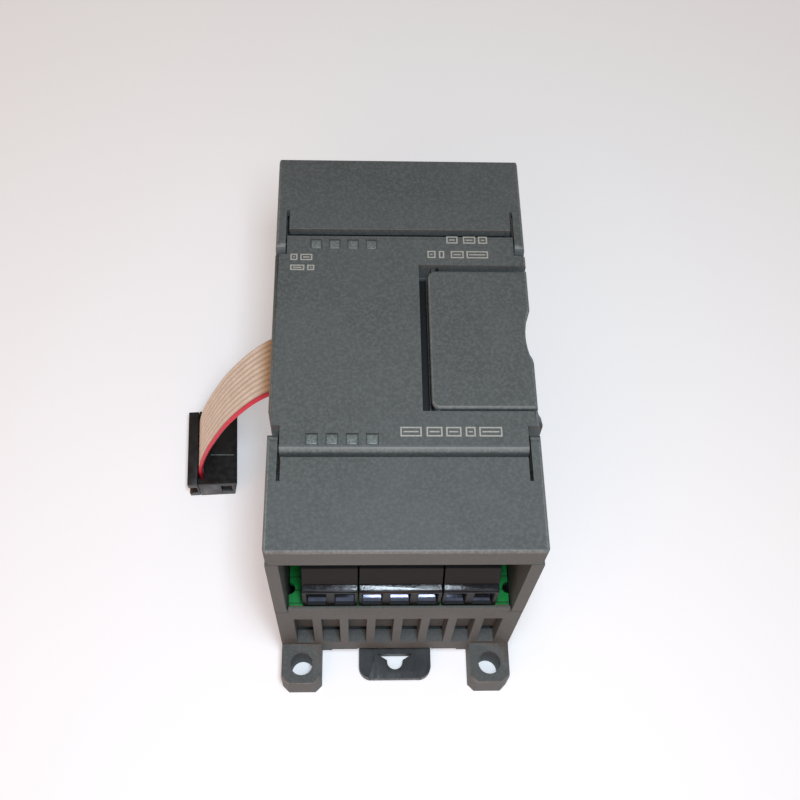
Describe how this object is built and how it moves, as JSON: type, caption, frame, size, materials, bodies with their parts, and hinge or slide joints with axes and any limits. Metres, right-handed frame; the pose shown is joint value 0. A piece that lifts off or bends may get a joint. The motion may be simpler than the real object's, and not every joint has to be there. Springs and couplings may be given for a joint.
{
  "type": "plc expansion module",
  "caption": "Rail or panel mounted analogue expansion module with hinged terminal doors, rising-cage screw terminals, socket cover, rail clip and flat cable connector.",
  "frame": {"origin": "middle of the back face, the plane that lies on the panel", "axes": "+Z points out of the front, +X to the right side seen from the front, +Y to the top end"},
  "size_m": [0.0696, 0.096, 0.062],
  "materials": {
    "housing": "fine moulded texture, matt",
    "clip": "moulded, scuffed satin",
    "board": "glossy solder resist over glass laminate",
    "terminal": "moulded, semi-gloss",
    "clamp_metal": "black passivated zinc, glossy",
    "screw_metal": "zinc plated",
    "connector": "moulded, satin",
    "chip": "moulded epoxy, matt",
    "converter": "potted, satin",
    "capacitor_can": "drawn can, satin",
    "cable": "vinyl flat cable, satin"
  },
  "bodies": {
    "case": {"base_housing": "housing", "front_housing": "housing", "main_board": "board", "port_board": "board", "stacking_header": "connector", "port_header": "connector", "cable_transition": "connector", "dc_converter": "converter", "output_chip_left": "chip", "output_chip_right": "chip", "bus_chip": "chip", "input_capacitor": "capacitor_can", "output_capacitor": "capacitor_can", "top_terminal_block_left": "terminal", "top_terminal_block_middle": "terminal", "top_terminal_block_right": "terminal", "bottom_terminal_block_left": "terminal", "bottom_terminal_block_middle": "terminal", "bottom_terminal_block_right": "terminal", "ribbon_cable": "cable", "connector_cover": "connector", "connector_body": "connector"},
    "top_door": {"top_door": "housing"},
    "bottom_door": {"bottom_door": "housing"},
    "port_cover": {"port_cover": "housing"},
    "rail_clip": {"din_clip": "clip"},
    "top_screw_1": {"top_screw_1": "screw_metal"},
    "top_clamp_1": {"top_clamp_1": "clamp_metal"},
    "top_screw_2": {"top_screw_2": "screw_metal"},
    "top_clamp_2": {"top_clamp_2": "clamp_metal"},
    "top_screw_3": {"top_screw_3": "screw_metal"},
    "top_clamp_3": {"top_clamp_3": "clamp_metal"},
    "top_screw_4": {"top_screw_4": "screw_metal"},
    "top_clamp_4": {"top_clamp_4": "clamp_metal"},
    "top_screw_5": {"top_screw_5": "screw_metal"},
    "top_clamp_5": {"top_clamp_5": "clamp_metal"},
    "top_screw_6": {"top_screw_6": "screw_metal"},
    "top_clamp_6": {"top_clamp_6": "clamp_metal"},
    "top_screw_7": {"top_screw_7": "screw_metal"},
    "top_clamp_7": {"top_clamp_7": "clamp_metal"},
    "bottom_screw_1": {"bottom_screw_1": "screw_metal"},
    "bottom_clamp_1": {"bottom_clamp_1": "clamp_metal"},
    "bottom_screw_2": {"bottom_screw_2": "screw_metal"},
    "bottom_clamp_2": {"bottom_clamp_2": "clamp_metal"},
    "bottom_screw_3": {"bottom_screw_3": "screw_metal"},
    "bottom_clamp_3": {"bottom_clamp_3": "clamp_metal"},
    "bottom_screw_4": {"bottom_screw_4": "screw_metal"},
    "bottom_clamp_4": {"bottom_clamp_4": "clamp_metal"},
    "bottom_screw_5": {"bottom_screw_5": "screw_metal"},
    "bottom_clamp_5": {"bottom_clamp_5": "clamp_metal"},
    "bottom_screw_6": {"bottom_screw_6": "screw_metal"},
    "bottom_clamp_6": {"bottom_clamp_6": "clamp_metal"},
    "bottom_screw_7": {"bottom_screw_7": "screw_metal"},
    "bottom_clamp_7": {"bottom_clamp_7": "clamp_metal"}
  },
  "joints": [
    {"name": "top_door_hinge", "type": "hinge", "parent": "case", "child": "top_door", "pos_m": [0, 0.0207, 0.0598], "axis": [1, 0, 0], "range_deg": [0, 95]},
    {"name": "bottom_door_hinge", "type": "hinge", "parent": "case", "child": "bottom_door", "pos_m": [0, -0.0207, 0.0598], "axis": [-1, 0, 0], "range_deg": [0, 95]},
    {"name": "port_cover_hinge", "type": "hinge", "parent": "case", "child": "port_cover", "pos_m": [0.0062, 0.00005, 0.0604], "axis": [0, -1, 0], "range_deg": [0, 95]},
    {"name": "rail_clip_slide", "type": "slide", "parent": "case", "child": "rail_clip", "axis": [0, -1, 0], "range_m": [0, 0.004]},
    {"name": "top_screw_1_turn", "type": "hinge", "parent": "case", "child": "top_screw_1", "pos_m": [-0.01524, 0.0316, 0.04], "axis": [0, 0, -1], "range_deg": [0, 1440.5]},
    {"name": "top_clamp_1_rise", "type": "slide", "parent": "case", "child": "top_clamp_1", "axis": [0, 0, 1], "range_m": [0, 0.002]},
    {"name": "top_screw_2_turn", "type": "hinge", "parent": "case", "child": "top_screw_2", "pos_m": [-0.01016, 0.0316, 0.04], "axis": [0, 0, -1], "range_deg": [0, 1440.5]},
    {"name": "top_clamp_2_rise", "type": "slide", "parent": "case", "child": "top_clamp_2", "axis": [0, 0, 1], "range_m": [0, 0.002]},
    {"name": "top_screw_3_turn", "type": "hinge", "parent": "case", "child": "top_screw_3", "pos_m": [-0.00508, 0.0316, 0.04], "axis": [0, 0, -1], "range_deg": [0, 1440.5]},
    {"name": "top_clamp_3_rise", "type": "slide", "parent": "case", "child": "top_clamp_3", "axis": [0, 0, 1], "range_m": [0, 0.002]},
    {"name": "top_screw_4_turn", "type": "hinge", "parent": "case", "child": "top_screw_4", "pos_m": [0, 0.0316, 0.04], "axis": [0, 0, -1], "range_deg": [0, 1440.5]},
    {"name": "top_clamp_4_rise", "type": "slide", "parent": "case", "child": "top_clamp_4", "axis": [0, 0, 1], "range_m": [0, 0.002]},
    {"name": "top_screw_5_turn", "type": "hinge", "parent": "case", "child": "top_screw_5", "pos_m": [0.00508, 0.0316, 0.04], "axis": [0, 0, -1], "range_deg": [0, 1440.5]},
    {"name": "top_clamp_5_rise", "type": "slide", "parent": "case", "child": "top_clamp_5", "axis": [0, 0, 1], "range_m": [0, 0.002]},
    {"name": "top_screw_6_turn", "type": "hinge", "parent": "case", "child": "top_screw_6", "pos_m": [0.01016, 0.0316, 0.04], "axis": [0, 0, -1], "range_deg": [0, 1440.5]},
    {"name": "top_clamp_6_rise", "type": "slide", "parent": "case", "child": "top_clamp_6", "axis": [0, 0, 1], "range_m": [0, 0.002]},
    {"name": "top_screw_7_turn", "type": "hinge", "parent": "case", "child": "top_screw_7", "pos_m": [0.01524, 0.0316, 0.04], "axis": [0, 0, -1], "range_deg": [0, 1440.5]},
    {"name": "top_clamp_7_rise", "type": "slide", "parent": "case", "child": "top_clamp_7", "axis": [0, 0, 1], "range_m": [0, 0.002]},
    {"name": "bottom_screw_1_turn", "type": "hinge", "parent": "case", "child": "bottom_screw_1", "pos_m": [-0.01524, -0.0316, 0.04], "axis": [0, 0, -1], "range_deg": [0, 1440.5]},
    {"name": "bottom_clamp_1_rise", "type": "slide", "parent": "case", "child": "bottom_clamp_1", "axis": [0, 0, 1], "range_m": [0, 0.002]},
    {"name": "bottom_screw_2_turn", "type": "hinge", "parent": "case", "child": "bottom_screw_2", "pos_m": [-0.01016, -0.0316, 0.04], "axis": [0, 0, -1], "range_deg": [0, 1440.5]},
    {"name": "bottom_clamp_2_rise", "type": "slide", "parent": "case", "child": "bottom_clamp_2", "axis": [0, 0, 1], "range_m": [0, 0.002]},
    {"name": "bottom_screw_3_turn", "type": "hinge", "parent": "case", "child": "bottom_screw_3", "pos_m": [-0.00508, -0.0316, 0.04], "axis": [0, 0, -1], "range_deg": [0, 1440.5]},
    {"name": "bottom_clamp_3_rise", "type": "slide", "parent": "case", "child": "bottom_clamp_3", "axis": [0, 0, 1], "range_m": [0, 0.002]},
    {"name": "bottom_screw_4_turn", "type": "hinge", "parent": "case", "child": "bottom_screw_4", "pos_m": [0, -0.0316, 0.04], "axis": [0, 0, -1], "range_deg": [0, 1440.5]},
    {"name": "bottom_clamp_4_rise", "type": "slide", "parent": "case", "child": "bottom_clamp_4", "axis": [0, 0, 1], "range_m": [0, 0.002]},
    {"name": "bottom_screw_5_turn", "type": "hinge", "parent": "case", "child": "bottom_screw_5", "pos_m": [0.00508, -0.0316, 0.04], "axis": [0, 0, -1], "range_deg": [0, 1440.5]},
    {"name": "bottom_clamp_5_rise", "type": "slide", "parent": "case", "child": "bottom_clamp_5", "axis": [0, 0, 1], "range_m": [0, 0.002]},
    {"name": "bottom_screw_6_turn", "type": "hinge", "parent": "case", "child": "bottom_screw_6", "pos_m": [0.01016, -0.0316, 0.04], "axis": [0, 0, -1], "range_deg": [0, 1440.5]},
    {"name": "bottom_clamp_6_rise", "type": "slide", "parent": "case", "child": "bottom_clamp_6", "axis": [0, 0, 1], "range_m": [0, 0.002]},
    {"name": "bottom_screw_7_turn", "type": "hinge", "parent": "case", "child": "bottom_screw_7", "pos_m": [0.01524, -0.0316, 0.04], "axis": [0, 0, -1], "range_deg": [0, 1440.5]},
    {"name": "bottom_clamp_7_rise", "type": "slide", "parent": "case", "child": "bottom_clamp_7", "axis": [0, 0, 1], "range_m": [0, 0.002]}
  ],
  "couplings": [
    {"joint": "top_screw_1_turn", "follows": "top_clamp_1_rise", "rad_per_m": 12566},
    {"joint": "top_screw_2_turn", "follows": "top_clamp_2_rise", "rad_per_m": 12566},
    {"joint": "top_screw_3_turn", "follows": "top_clamp_3_rise", "rad_per_m": 12566},
    {"joint": "top_screw_4_turn", "follows": "top_clamp_4_rise", "rad_per_m": 12566},
    {"joint": "top_screw_5_turn", "follows": "top_clamp_5_rise", "rad_per_m": 12566},
    {"joint": "top_screw_6_turn", "follows": "top_clamp_6_rise", "rad_per_m": 12566},
    {"joint": "top_screw_7_turn", "follows": "top_clamp_7_rise", "rad_per_m": 12566},
    {"joint": "bottom_screw_1_turn", "follows": "bottom_clamp_1_rise", "rad_per_m": 12566},
    {"joint": "bottom_screw_2_turn", "follows": "bottom_clamp_2_rise", "rad_per_m": 12566},
    {"joint": "bottom_screw_3_turn", "follows": "bottom_clamp_3_rise", "rad_per_m": 12566},
    {"joint": "bottom_screw_4_turn", "follows": "bottom_clamp_4_rise", "rad_per_m": 12566},
    {"joint": "bottom_screw_5_turn", "follows": "bottom_clamp_5_rise", "rad_per_m": 12566},
    {"joint": "bottom_screw_6_turn", "follows": "bottom_clamp_6_rise", "rad_per_m": 12566},
    {"joint": "bottom_screw_7_turn", "follows": "bottom_clamp_7_rise", "rad_per_m": 12566}
  ]
}
